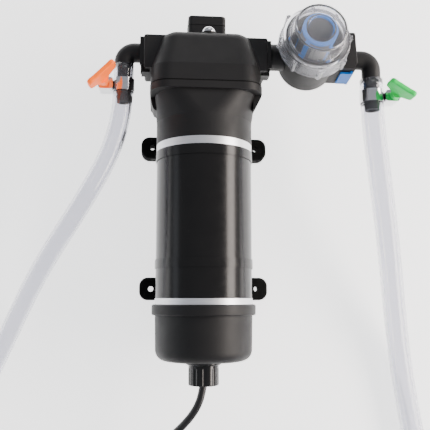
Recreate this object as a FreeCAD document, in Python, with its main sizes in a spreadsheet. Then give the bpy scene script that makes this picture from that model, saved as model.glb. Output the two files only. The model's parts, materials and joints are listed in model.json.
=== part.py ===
"""Self-priming diaphragm water pump with an inline strainer, elbows, hoses and a mains lead, lying on its feet.

Row frame: +Z up, the floor is Z = 0, and the motor axis runs along Y at axis_height. The pump head is towards
+Y, the cable gland towards -Y, the outlet elbow at -X, the strainer and the inlet elbow at +X. The origin is on
the floor, in the middle of the four foot holes. Millimetres throughout.
"""

import FreeCAD, Part
import math
import os

import Sketcher

Vector, Rotation, Placement = FreeCAD.Vector, FreeCAD.Rotation, FreeCAD.Placement

doc = FreeCAD.newDocument("diaphragm_pump")
sheet = doc.addObject("Spreadsheet::Sheet", "Sizes")
nodes = {}


# ---------------------------------------------------------------- sizes

class Size:
    """A number from the sheet, or one worked out from its cells, with the expression that says so."""

    def __init__(self, value, text):
        self.value, self.text = value, text

    def joined(self, sign, other, value):
        right = other.text if isinstance(other, Size) else repr(float(other))
        return Size(value, f"({self.text} {sign} {right})")

    def __add__(self, other):
        return self.joined("+", other, self.value + number(other))

    def __sub__(self, other):
        return self.joined("-", other, self.value - number(other))

    def __mul__(self, other):
        return self.joined("*", other, self.value * number(other))

    def __truediv__(self, other):
        return self.joined("/", other, self.value / number(other))

    def __neg__(self):
        return self * -1


def number(size):
    return size.value if isinstance(size, Size) else float(size)


DRIVING = {
    # the frame
    "axis_height": 58.0, "foot_x": 53.05, "foot_y": 71.8, "foot_shift": 3.0,
    # motor
    "can_radius": 45.0, "can_wall": 2.4, "can_rear": -81.1, "can_front": 55.8,
    "rim_radius": 45.4, "rear_rim": -86.6, "front_rim": 62.9,
    "rear_band": -53.9, "rear_band_width": 8.4, "front_band": 46.8, "front_band_width": 8.9, "band_rise": 0.9,
    "shaft_radius": 6.0, "shaft_rear_radius": 4.0, "core_radius": 35.0, "core_rear": -26.0, "core_front": 40.0,
    "slot_count": 12, "commutator_radius": 13.0, "magnet_radius": 36.0, "magnet_angle": 140.0,
    # end cap and cable gland
    "cap_radius": 45.3, "cap_taper": 0.8, "cap_wall": 3.0, "cap_end": -137.6, "cap_lip_radius": 48.3, "cap_lip": -96.5,
    "cap_lip_width": 8.8, "cap_round": 10.0, "gland_flange_radius": 16.6, "gland_flange": 4.0, "nut_radius": 14.0, "nut_end": -159.8,
    "cord_radius": 3.5,
    # brackets and feet
    "plate_bottom": 8.0, "plate_thick": 3.0, "plate_width": 22.0, "saddle_half": 24.0, "foot_half": 11.3, "foot_corner": 8.5,
    "foot_height": 16.0, "foot_hole_radius": 2.75, "bracket_screw_x": 14.0,
    # pump housing and head
    "housing_radius": 45.5, "housing_loft": 84.0, "flange_rear": 106.4, "seam": 113.0, "neck_half_x": 47.3,
    "neck_half_z": 44.5, "flange_half_x": 52.0, "flange_half_z": 47.0, "corner": 19.0, "cavity_radius": 41.0,
    "gasket": 1.2, "head_step": 130.0, "head_top": 165.0, "head_top_half_x": 41.8, "head_top_half_z": 37.5,
    "head_round": 12.0, "screw_x": 33.5, "screw_z": 29.5, "chamber_radius": 32.0, "chamber_rear": 123.2,
    "chamber_front": 157.0,
    # wobble drive
    "tilt": 3.5, "tilt_centre": 78.0, "journal_radius": 8.5, "wobble_bearing_radius": 20.0, "piston_circle": 22.0,
    "piston_radius": 8.0, "piston_length": 12.4, "piston_count": 3,
    # ports
    "port_y": 149.5, "port_rise": 14.0, "block_face": 58.0, "block_rear": 129.6, "block_front": 161.4,
    "block_low": -8.0, "block_high": 31.0, "tube_radius": 9.0, "tube_bore": 4.4, "spigot_radius": 8.3,
    "socket_radius": 8.6, "collar_radius": 10.0, "groove_radius": 7.2, "spigot_end": 38.0, "bend_radius": 10.0,
    # clips
    "clip_thick": 2.3, "clip_half": 11.0, "clip_gap": 7.5, "clip_prong": 7.5, "clip_heel": 18.5,
    "clip_drop": 22.0, "strainer_clip_drop": 20.5, "clip_tab_low": -3.0, "clip_tab_high": 10.0, "clip_handle": 5.5,
    "strainer_clip_handle": 9.5,
    # pressure switch
    "switch_x": 1.5, "switch_half_x": 18.0, "switch_low": -16.0, "switch_high": 18.0, "switch_seam": 178.2,
    "switch_top": 188.2, "switch_wall": 2.2, "adjuster_x": 2.3, "adjuster_z": 26.2, "adjuster_radius": 6.3,
    "plunger_x": -9.0, "plunger_radius": 3.0,
    # strainer
    "strainer_x": 99.5, "strainer_tilt": 8.0, "cup_radius": 27.0, "cup_end": -20.0, "cup_round": 8.0, "cup_shoulder": 27.0,
    "thread_radius": 28.3, "cup_mouth": 36.4, "cup_cavity": 24.4, "neck_radius": 12.5, "bowl_rim_radius": 31.2, "bowl_skirt_radius": 33.0,
    "bowl_skirt_low": 23.5,
    "bowl_rim_high": 37.8, "bowl_base_radius": 26.0, "bowl_top_radius": 23.8, "bowl_top": 56.5, "bowl_wall": 2.2,
    "dimple_radius": 11.0, "lug_count": 8, "lug_start": 4.3, "screen_radius": 15.0, "screen_low": -16.5, "screen_high": 51.6,
    "inlet_face": 144.0, "inlet_block_half": 22.4, "inlet_flange_low": 12.0, "inlet_inner_half": 18.0, "inlet_slot": 137.6,
    "inlet_block_low": -14.0, "inlet_block_high": 16.0,
    # elbows, hoses and clamps
    "outlet_leg_x": 76.8, "outlet_shoulder": 137.3, "outlet_tail": 100.3, "outlet_tail_radius": 6.85,
    "outlet_hose_radius": 9.25, "outlet_hose_bore": 7.0, "outlet_clamp_y": 116.8,
    "inlet_leg_x": 162.3, "inlet_shoulder": 129.9, "inlet_tail": 99.0, "inlet_tail_radius": 7.85,
    "inlet_hose_radius": 11.0, "inlet_hose_bore": 8.0, "inlet_clamp_y": 112.4,
    "clamp_width": 12.0, "clamp_thick": 0.6, "clamp_reach": 8.0, "key_height": 25.0, "key_thick": 4.8,
    "outlet_key_foot": 14.0, "inlet_key_foot": 10.0,
    "outlet_key_half": 15.5, "inlet_key_half": 13.8, "outlet_key_turn": 45.0, "inlet_key_turn": -32.0,
    # coils and plug
    "outlet_coil_x": -165.5, "outlet_coil_y": -331.0, "outlet_coil_radius": 92.5,
    "inlet_coil_x": 118.0, "inlet_coil_y": -347.0, "inlet_coil_radius": 110.0, "hose_layers": 2.0,
    "cord_coil_x": -30.5, "cord_coil_y": -268.0, "cord_coil_outer": 42.0, "cord_coil_inner": 28.0,
    "cord_layers": 3.0,
    "plug_x": -35.0, "plug_y": -351.0, "plug_length": 36.0, "plug_width": 27.0, "plug_height": 14.0,
}


def fill_sheet():
    """One row for each driving size, its name beside its number, and the same name as the cell's alias."""
    sizes = {}
    for row, (name, value) in enumerate(DRIVING.items(), start=1):
        sheet.set(f"A{row}", name)
        sheet.set(f"B{row}", str(value))
        sheet.setAlias(f"B{row}", name)
        sizes[name] = Size(float(value), f"Sizes.{name}")
    doc.recompute()
    return sizes


D = fill_sheet()
PORT_Z = D["axis_height"] + D["port_rise"]

# ---------------------------------------------------------------- building blocks

TURNS = {
    "Z": Rotation(),
    "X": Rotation(Vector(0, 1, 0), 90),
    "-X": Rotation(Vector(0, 1, 0), -90),
    "Y": Rotation(Vector(1, 0, 0), -90),
    "-Y": Rotation(Vector(1, 0, 0), 90),
}


def bind(thing, prop, size):
    """Sets a property to a size: by expression when it comes from the sheet, else as a plain number."""
    if isinstance(size, Size):
        thing.setExpression(prop, size.text)
    elif "." not in prop:
        setattr(thing, prop, size)


def put(thing, at, turn=None):
    """Places thing at a point whose coordinates may be sizes."""
    thing.Placement = Placement(Vector(*[number(c) for c in at]), turn or Rotation())
    for letter, size in zip("xyz", at):
        bind(thing, f"Placement.Base.{letter}", size)
    return thing


def cylinder(radius, length, at, along="Y", angle=None, turn=None):
    thing = doc.addObject("Part::Cylinder", "cylinder")
    bind(thing, "Radius", radius)
    bind(thing, "Height", length)
    if angle is not None:
        bind(thing, "Angle", angle)
    return put(thing, at, turn or TURNS[along])


def cone(radius_low, radius_high, length, at, along="Y"):
    thing = doc.addObject("Part::Cone", "cone")
    bind(thing, "Radius1", radius_low)
    bind(thing, "Radius2", radius_high)
    bind(thing, "Height", length)
    return put(thing, at, TURNS[along])


def block(dx, dy, dz, at):
    thing = doc.addObject("Part::Box", "block")
    bind(thing, "Length", dx)
    bind(thing, "Width", dy)
    bind(thing, "Height", dz)
    return put(thing, at)


def torus(ring_radius, tube_radius, at, along="Z", sweep=360.0, turn=None):
    thing = doc.addObject("Part::Torus", "torus")
    bind(thing, "Radius1", ring_radius)
    bind(thing, "Radius2", tube_radius)
    thing.Angle3 = sweep
    return put(thing, at, turn or TURNS[along])


def fuse(*things):
    if len(things) == 1:
        return things[0]
    thing = doc.addObject("Part::MultiFuse", "fuse")
    thing.Shapes = list(things)
    return thing


def cut(base, *tools):
    thing = doc.addObject("Part::Cut", "cut")
    thing.Base = base
    thing.Tool = fuse(*tools)
    return thing


def rounded(base, radius, chosen):
    """Part::Fillet on the edges that chosen(edge) picks."""
    doc.recompute()
    picked = [i for i, edge in enumerate(base.Shape.Edges, start=1) if chosen(edge)]
    thing = doc.addObject("Part::Fillet", "fillet")
    thing.Base = base
    thing.Edges = [(i, radius, radius) for i in picked]
    return thing


def outline(body, points, plane="XY_Plane"):
    """A closed sketch with a straight side between each two points, each point held by its two coordinates."""
    sketch = body.newObject("Sketcher::SketchObject", "sketch")
    sketch.AttachmentSupport = [(next(f for f in body.Origin.OriginFeatures if f.Role == plane), "")]
    sketch.MapMode = "FlatFace"
    corners = [Vector(number(x), number(y), 0) for x, y in points]
    for i, corner in enumerate(corners):
        sketch.addGeometry(Part.LineSegment(corner, corners[(i + 1) % len(corners)]), False)
    for i, (x, y) in enumerate(points):
        sketch.addConstraint(Sketcher.Constraint("Coincident", i, 2, (i + 1) % len(points), 1))
        for kind, size in (("DistanceX", x), ("DistanceY", y)):
            which = sketch.addConstraint(Sketcher.Constraint(kind, -1, 1, i, 1, number(size)))
            if isinstance(size, Size):
                sketch.setExpression(f"Constraints[{which}]", size.text)
    return sketch


def turned(points, at=(0.0, 0.0, D["axis_height"]), turn=None, rounds=()):
    """A body turned about its own Y axis from (radius, station) points; rounds are (radius, station, fillet)."""
    body = doc.addObject("PartDesign::Body", "turned")
    sketch = outline(body, points)
    spin = body.newObject("PartDesign::Revolution", "spin")
    spin.Profile = sketch
    spin.ReferenceAxis = (sketch, ["V_Axis"])
    spin.Angle = 360.0
    doc.recompute()
    for radius, station, fillet in rounds:
        base = body.Tip
        names = [
            f"Edge{i}" for i, e in enumerate(base.Shape.Edges, start=1)
            if isinstance(e.Curve, Part.Circle) and abs(e.Curve.Radius - number(radius)) < 0.01
            and abs(e.Curve.Center.y - number(station)) < 0.01
        ]
        soft = body.newObject("PartDesign::Fillet", "soft")
        soft.Base = (base, names)
        bind(soft, "Radius", fillet)
        doc.recompute()
    return put(body, at, turn)


def plate(points, thick, at, turn=None, plane="XY_Plane"):
    """A padded outline, half its thickness each side of the sketch plane."""
    body = doc.addObject("PartDesign::Body", "plate")
    sketch = outline(body, points, plane)
    pad = body.newObject("PartDesign::Pad", "pad")
    pad.Profile = sketch
    bind(pad, "Length", thick)
    pad.Midplane = True
    return put(body, at, turn)


def node(name, thing, at=None, turn=None):
    """Gives a finished sub-part its own name, and its place when it was built in a frame of its own."""
    thing.Label = name
    if at is not None:
        put(thing, at, turn)
    nodes[name] = thing
    return thing


def solid(name, shape):
    """A sub-part whose form needs Part's own functions."""
    thing = doc.addObject("Part::Feature", name)
    thing.Shape = shape
    return thing


def rounded_wire(half_x, half_z, corner, station):
    """A closed wire across the motor axis: four straight sides and four round corners."""
    height = number(D["axis_height"])
    x, z, r = half_x - corner, half_z - corner, corner
    diagonal = r / math.sqrt(2)

    def at(px, pz):
        return Vector(px, station, height + pz)

    edges = []
    for sx, sz, swap in ((1, 1, False), (1, -1, True), (-1, -1, False), (-1, 1, True)):
        ends = [at(sx * x, sz * (z + r)), at(sx * (x + r), sz * z)]
        start, end = reversed(ends) if swap else ends
        edges.append(Part.Arc(start, at(sx * (x + diagonal), sz * (z + diagonal)), end).toShape())
    sides = [
        Part.LineSegment(edges[i].lastVertex().Point, edges[(i + 1) % 4].firstVertex().Point).toShape()
        for i in range(4)
    ]
    return Part.Wire([edge for pair in zip(edges, sides) for edge in pair])


def near_circle(radius, station):
    """A circle with the same eight spans as rounded_wire, so that the two join without a twist."""
    height = number(D["axis_height"])
    span = math.radians(4.0)

    def at(angle):
        return Vector(radius * math.sin(angle), station, height + radius * math.cos(angle))

    edges = []
    for quarter in range(4):
        low, high = quarter * math.pi / 2 + span, (quarter + 1) * math.pi / 2 - span
        edges.append(Part.Arc(at(low), at((low + high) / 2), at(high)).toShape())
        edges.append(Part.Arc(at(high), at(high + span), at(high + 2 * span)).toShape())
    return Part.Wire(edges)


# ---------------------------------------------------------------- motor

AXIS = (0.0, 0.0, D["axis_height"])


def make_can():
    inner = D["can_radius"] - D["can_wall"]
    can = turned([(inner, D["can_rear"]), (D["can_radius"], D["can_rear"]),
                  (D["can_radius"], D["can_front"]), (inner, D["can_front"])])
    holes = [cylinder(2.6, 20.0, (D["bracket_screw_x"] * side, -D["foot_y"], 8.0), "Z") for side in (-1, 1)]
    node("motor_can", cut(can, *holes))

    low = D["can_radius"] + 0.05
    high = D["can_radius"] + D["band_rise"]
    rings = [
        turned([(low, start), (high, start), (high, start + width), (low, start + width)])
        for start, width in ((D["rear_band"], D["rear_band_width"]), (D["front_band"], D["front_band_width"]))
    ]
    node("can_bands", fuse(*rings))


def make_end_frames():
    rim, skirt, web = D["rim_radius"], D["can_radius"] - D["can_wall"] - 0.2, 4.0
    rear, face = D["rear_rim"], D["can_rear"]
    node("rear_end_frame", turned([
        (4.6, rear), (rim, rear), (rim, face), (skirt, face), (skirt, face + 4), (skirt - 3, face + 4),
        (skirt - 3, rear + web), (15.0, rear + web), (15.0, face + 7), (11.05, face + 7), (11.05, face + 0.1),
        (4.6, face + 0.1)]))
    front, face = D["front_rim"], D["can_front"]
    node("front_end_frame", turned([
        (6.6, front), (rim, front), (rim, face), (skirt, face), (skirt, face - 4), (skirt - 3, face - 4),
        (skirt - 3, front - web), (18.0, front - web), (18.0, face - 5.8), (14.05, face - 5.8),
        (14.05, face + 2.2), (6.6, face + 2.2)]))
    rear_ring = turned([(4.05, -80.95), (11.0, -80.95), (11.0, -74.1), (4.05, -74.1)])
    front_ring = turned([(6.05, 50.05), (14.0, 50.05), (14.0, 57.95), (6.05, 57.95)])
    node("motor_bearings", fuse(rear_ring, front_ring))


def make_rotor():
    back, middle = D["shaft_rear_radius"], D["shaft_radius"]
    node("motor_shaft", turned([
        (0.0, -85.0), (back, -85.0), (back, -73.6), (middle, -73.6), (middle, 64.0), (5.5, 64.0), (5.5, 84.0),
        (0.0, 84.0)]))

    count, length = int(number(D["slot_count"])), D["core_front"] - D["core_rear"]
    core = cylinder(D["core_radius"], length, (0.0, D["core_rear"], D["axis_height"]))
    bore = cylinder(middle + 0.02, length + 2, (0.0, D["core_rear"] - 1, D["axis_height"]))
    slots, bars = [], []
    for i in range(count):
        turn = Rotation(Vector(0, 1, 0), i * 360.0 / count)
        for group, width, low, high, start, span in (
            (slots, 5.0, 24.8, 36.0, D["core_rear"] - 1, length + 2),
            (bars, 4.4, 25.2, 33.6, D["core_rear"] - 1, length + 2),
        ):
            tool = doc.addObject("Part::Box", "tool")
            tool.Length, tool.Height = width, high - low
            bind(tool, "Width", span)
            corner = turn.multVec(Vector(-width / 2, 0, low))
            put(tool, (corner.x, start, D["axis_height"] + corner.z), turn)
            group.append(tool)
    node("armature_core", cut(core, bore, *slots))
    front_turns = turned([(16.0, 40.4), (32.0, 40.4), (33.6, 42.5), (32.0, 48.2), (18.0, 48.2)])
    rear_turns = turned([(16.0, -26.4), (32.0, -26.4), (33.6, -28.5), (32.0, -35.0), (18.0, -35.0)])
    node("windings", fuse(front_turns, rear_turns, *bars))

    radius, count = D["commutator_radius"], 12
    drum = turned([(middle + 0.02, -58.0), (radius, -58.0), (radius, -42.0), (radius + 2, -42.0),
                   (radius + 2, -39.5), (middle + 0.02, -39.5)])
    cuts = []
    for i in range(count):
        turn = Rotation(Vector(0, 1, 0), i * 360.0 / count)
        corner = turn.multVec(Vector(-0.4, 0, number(radius) - 1))
        cuts.append(put(doc.addObject("Part::Box", "tool"), (corner.x, -59.0, D["axis_height"] + corner.z), turn))
        cuts[-1].Length, cuts[-1].Width, cuts[-1].Height = 0.8, 20.0, 4.0
    node("commutator", cut(drum, *cuts))


def make_stator():
    outer = D["can_radius"] - D["can_wall"] - 0.1
    sectors = []
    for side in (0, 180):
        turn = TURNS["Y"].multiply(Rotation(Vector(0, 0, 1), side - number(D["magnet_angle"]) / 2))
        sectors.append(cylinder(outer, 74.0, (0.0, -30.0, D["axis_height"]), angle=D["magnet_angle"], turn=turn))
    inside = cylinder(D["magnet_radius"], 76.0, (0.0, -31.0, D["axis_height"]))
    node("magnets", cut(fuse(*sectors), inside))

    ring = turned([(24.0, -58.0), (outer, -58.0), (outer, -55.0), (24.0, -55.0)])
    arms, slots, brushes = [], [], []
    for side in (-1, 1):
        low = 16.0 if side > 0 else -30.0
        arms.append(block(14.0, 12.0, 11.0, (low, -55.5, D["axis_height"] - 5.5)))
        slots.append(block(40.0, 7.0, 7.0, (0.0 if side > 0 else -40.0, -52.0, D["axis_height"] - 3.5)))
        start = 13.15 if side > 0 else -27.15
        brushes.append(block(14.0, 6.4, 6.4, (start, -51.7, D["axis_height"] - 3.2)))
    node("brush_holder", cut(fuse(ring, *arms), *slots))
    node("carbon_brushes", fuse(*brushes))


def make_end_cap():
    radius, wall, end, lip = D["cap_radius"], D["cap_wall"], D["cap_end"], D["cap_lip"]
    mouth = D["rear_rim"] - 0.1
    inner, narrow = radius - wall, radius - D["cap_taper"]
    node("end_cap", turned(
        [(10.2, end), (narrow, end), (radius, lip), (D["cap_lip_radius"], lip),
         (D["cap_lip_radius"], lip + D["cap_lip_width"]), (radius + 1.6, mouth), (inner, mouth),
         (narrow - wall, end + wall), (10.2, end + wall)],
        rounds=((narrow, end, D["cap_round"]), (narrow - wall, end + wall, D["cap_round"] - wall),
                (D["cap_lip_radius"], lip, 1.6))))

    face, flange = D["cap_end"] - 0.1, D["gland_flange_radius"]
    back = face - D["gland_flange"]
    node("gland_body", turned(
        [(4.4, -152.2), (9.4, -152.2), (9.4, back), (flange, back), (flange, face), (9.9, face),
         (9.9, end + wall + 4), (4.4, end + wall + 4)], rounds=((flange, back, 2.0),)))
    nut = turned(
        [(9.7, back - 0.2), (D["nut_radius"], back - 0.2), (D["nut_radius"], D["nut_end"]),
         (5.0, D["nut_end"]), (5.0, D["nut_end"] + 2), (9.7, D["nut_end"] + 2)],
        rounds=((D["nut_radius"], D["nut_end"], 1.2),))
    flutes = []
    for i in range(10):
        angle = math.radians(18 + 36 * i)
        at = (16.6 * math.cos(angle), D["nut_end"] - 1, D["axis_height"] + 16.6 * math.sin(angle))
        flutes.append(cylinder(3.2, 16.5, at))
    node("gland_nut", cut(nut, *flutes))
    seal = D["cord_radius"] + 0.08
    node("gland_seal", turned([(seal, -157.6), (9.4, -157.6), (9.4, -152.4), (seal, -152.4)]))


# ---------------------------------------------------------------- brackets and feet

def make_bracket(name, station, saddle_radius):
    width, low, thick = D["plate_width"], D["plate_bottom"], D["plate_thick"]
    start = station - width / 2
    strip = block(D["foot_x"] * 2, width, thick, (D["foot_shift"] - D["foot_x"], start, low))
    ends = [cylinder(width / 2, thick, (D["foot_shift"] + D["foot_x"] * s, station, low), "Z") for s in (-1, 1)]
    saddle = block(D["saddle_half"] * 2, width - 4, 14.0, (-D["saddle_half"], start + 2, low + thick))
    hollow = cylinder(saddle_radius, width + 2, (0.0, start - 1, D["axis_height"]))
    holes = [
        cylinder(6.15, thick + 2, (D["foot_shift"] + D["foot_x"] * s, station, low - 1), "Z") for s in (-1, 1)
    ]
    holes += [cylinder(2.6, 30.0, (D["bracket_screw_x"] * s, station, low - 1), "Z") for s in (-1, 1)]
    node(name, cut(fuse(strip, saddle, *ends), hollow, *holes))


def make_foot(x, station):
    """A rubber block with round corners, a screw hole down its middle and a groove that grips the bracket."""
    half, hole, core = D["foot_half"], D["foot_hole_radius"], 6.0
    groove_low, groove_high = D["plate_bottom"] - 0.05, D["plate_bottom"] + D["plate_thick"] + 0.05
    top = number(D["foot_height"])
    pad = block(half * 2, half * 2, D["foot_height"], (x - half, station - half, 0.0))
    pad = rounded(pad, number(D["foot_corner"]), lambda e: e.BoundBox.ZLength > 10)
    pad = rounded(pad, 2.6, lambda e: e.BoundBox.ZMin > top - 0.01)
    pad = rounded(pad, 1.0, lambda e: e.BoundBox.ZMax < 0.01)
    groove = cut(block(half * 2 + 2, half * 2 + 2, groove_high - groove_low,
                       (x - half - 1, station - half - 1, groove_low)),
                 cylinder(core, 20.0, (x, station, 0.0), "Z"))
    return cut(pad, groove, cylinder(hole, 20.0, (x, station, -1.0), "Z"))


def make_feet():
    make_bracket("rear_foot_bracket", -D["foot_y"], D["can_radius"] + 0.1)
    make_bracket("front_foot_bracket", D["foot_y"], D["housing_radius"] + 0.1)
    screws, feet = [], []
    for station in (-D["foot_y"], D["foot_y"]):
        for side in (-1, 1):
            x = D["bracket_screw_x"] * side
            screws.append(fuse(cylinder(4.6, 2.8, (x, station, D["plate_bottom"] - 2.85), "Z"),
                               cylinder(2.5, 13.0, (x, station, D["plate_bottom"] - 2.0), "Z")))
            feet.append(make_foot(D["foot_shift"] + D["foot_x"] * side, station))
    node("bracket_screws", fuse(*screws))
    node("rubber_feet", fuse(*feet))


# ---------------------------------------------------------------- pump housing and head

def make_lower_housing():
    value = {k: number(v) for k, v in D.items()}
    loft = Part.makeLoft([near_circle(value["housing_radius"], value["front_rim"] + 0.1),
                          near_circle(value["housing_radius"], value["housing_loft"])], True, True)
    spread = Part.makeLoft([near_circle(value["housing_radius"], value["housing_loft"]),
                            rounded_wire(value["neck_half_x"], value["neck_half_z"], value["corner"] + 8,
                                         value["flange_rear"])], True, False)
    flange = Part.Face(rounded_wire(value["flange_half_x"], value["flange_half_z"], value["corner"],
                                    value["flange_rear"])).extrude(Vector(0, value["seam"] - value["flange_rear"], 0))
    shell = solid("housing_shell", loft.fuse([spread, flange]).removeSplitter())

    rear = D["flange_rear"]
    high = D["axis_height"] + 16.5
    side_plates = [
        plate([(-44.0, rear + 1), (-51.6, rear + 1), (-50.2, rear - 6.9), (-48.6, rear - 10.6),
               (-45.5, rear - 12.8), (-44.0, rear - 12.8)], 26.0, AXIS),
        plate([(44.0, rear + 1), (51.8, rear + 1), (51.6, rear - 1.5), (45.5, rear - 13.2), (44.0, rear - 13.2)],
              23.0, (0.0, 0.0, high)),
    ]
    cavity = turned([(0.0, 67.0), (D["cavity_radius"], 67.0), (D["cavity_radius"], D["seam"] + 1),
                     (0.0, D["seam"] + 1)])
    doorway = cylinder(15.0, 8.0, (0.0, D["front_rim"] - 1, D["axis_height"]))
    screw_holes = [
        cylinder(2.3, 12.0, (D["screw_x"] * sx, D["seam"] - 9, D["axis_height"] + D["screw_z"] * sz))
        for sx in (-1, 1) for sz in (-1, 1)
    ]
    foot_holes = [cylinder(2.6, 20.0, (D["bracket_screw_x"] * s, D["foot_y"], 8.0), "Z") for s in (-1, 1)]
    node("lower_housing", cut(fuse(shell, *side_plates), cavity, doorway, *screw_holes, *foot_holes))


def tilted(points):
    """A turned piece whose axis leans by the wobble angle, about the point on the motor axis at tilt_centre."""
    lean = Rotation(Vector(0, 0, 1), number(D["tilt"]))
    piece = turned([(r, y) for r, y in points], at=(0.0, D["tilt_centre"], D["axis_height"]), turn=lean)
    piece.setExpression("Placement.Rotation.Angle", D["tilt"].text)
    return piece


def make_wobble_drive():
    journal, outer = D["journal_radius"], D["wobble_bearing_radius"]
    hub = fuse(cylinder(11.5, 5.0, (0.0, 66.0, D["axis_height"])),
               tilted([(0.0, -8.0), (journal, -8.0), (journal, 6.2), (0.0, 6.2)]))
    node("eccentric_hub", cut(hub, cylinder(5.52, 40.0, (0.0, 60.0, D["axis_height"]))))
    node("wobble_bearing", tilted([(journal + 0.05, -6.0), (outer, -6.0), (outer, 6.0), (journal + 0.05, 6.0)]))
    cup = tilted([(outer + 0.02, -6.2), (outer + 4, -6.2), (outer + 4, 8.0), (33.0, 8.0), (33.0, 12.0),
                  (0.0, 12.0), (0.0, 8.0), (outer - 2, 8.0), (outer - 2, 6.1), (outer + 0.02, 6.1)])
    node("wobble_plate", cup)

    pistons = []
    for i in range(int(number(D["piston_count"]))):
        angle = math.radians(90 + 120 * i)
        lean = Rotation(Vector(0, 0, 1), number(D["tilt"]))
        foot = lean.multVec(Vector(number(D["piston_circle"]) * math.cos(angle), 12.05,
                                   number(D["piston_circle"]) * math.sin(angle)))
        at = (foot.x, D["tilt_centre"] + foot.y, D["axis_height"] + foot.z)
        pistons.append(cylinder(D["piston_radius"], D["piston_length"], at, turn=lean.multiply(TURNS["Y"])))
    node("pistons", fuse(*pistons))


def wells(radius, length, station, circle, count=3):
    """Short cylinders along the motor axis, evenly spaced round a circle, the first straight up."""
    return [
        cylinder(radius, length, (number(circle) * math.cos(math.radians(90 + 360 * i / count)), station,
                                  D["axis_height"] + number(circle) * math.sin(math.radians(90 + 360 * i / count))))
        for i in range(count)
    ]


def make_valves():
    sheet_wire = rounded_wire(number(D["flange_half_x"]) - 0.5, number(D["flange_half_z"]) - 0.5,
                              number(D["corner"]), number(D["seam"]))
    membrane = solid("membrane", Part.Face(sheet_wire).extrude(Vector(0, number(D["gasket"]) - 0.04, 0)))
    bosses = wells(7.0, 9.0, D["seam"] - 8.6, D["piston_circle"])
    holes = [
        cylinder(2.4, 6.0, (D["screw_x"] * sx, D["seam"] - 2, D["axis_height"] + D["screw_z"] * sz))
        for sx in (-1, 1) for sz in (-1, 1)
    ]
    node("diaphragm", cut(fuse(membrane, *bosses), *holes))

    low = D["seam"] + D["gasket"] + 0.05
    disc = cylinder(D["cavity_radius"] - 1.2, 6.0, (0.0, low, D["axis_height"]))
    domes = wells(9.0, 3.0, low - 0.5, D["piston_circle"])
    ways = wells(1.6, 9.0, low - 1, D["piston_circle"]) + wells(1.6, 9.0, low - 1, 11.0)
    node("valve_plate", cut(disc, *domes, *ways))

    top = low + 6.05
    flaps = wells(6.0, 1.2, top, D["piston_circle"]) + wells(4.4, 1.2, top, 11.0)
    stems = wells(1.45, 5.0, top - 4.5, D["piston_circle"]) + wells(1.45, 5.0, top - 4.5, 11.0)
    node("check_valves", fuse(*flaps, *stems))
    node("head_seal", turned([(34.5, top), (37.5, top), (37.5, D["chamber_rear"] - 0.1),
                              (34.5, D["chamber_rear"] - 0.1)]))


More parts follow.
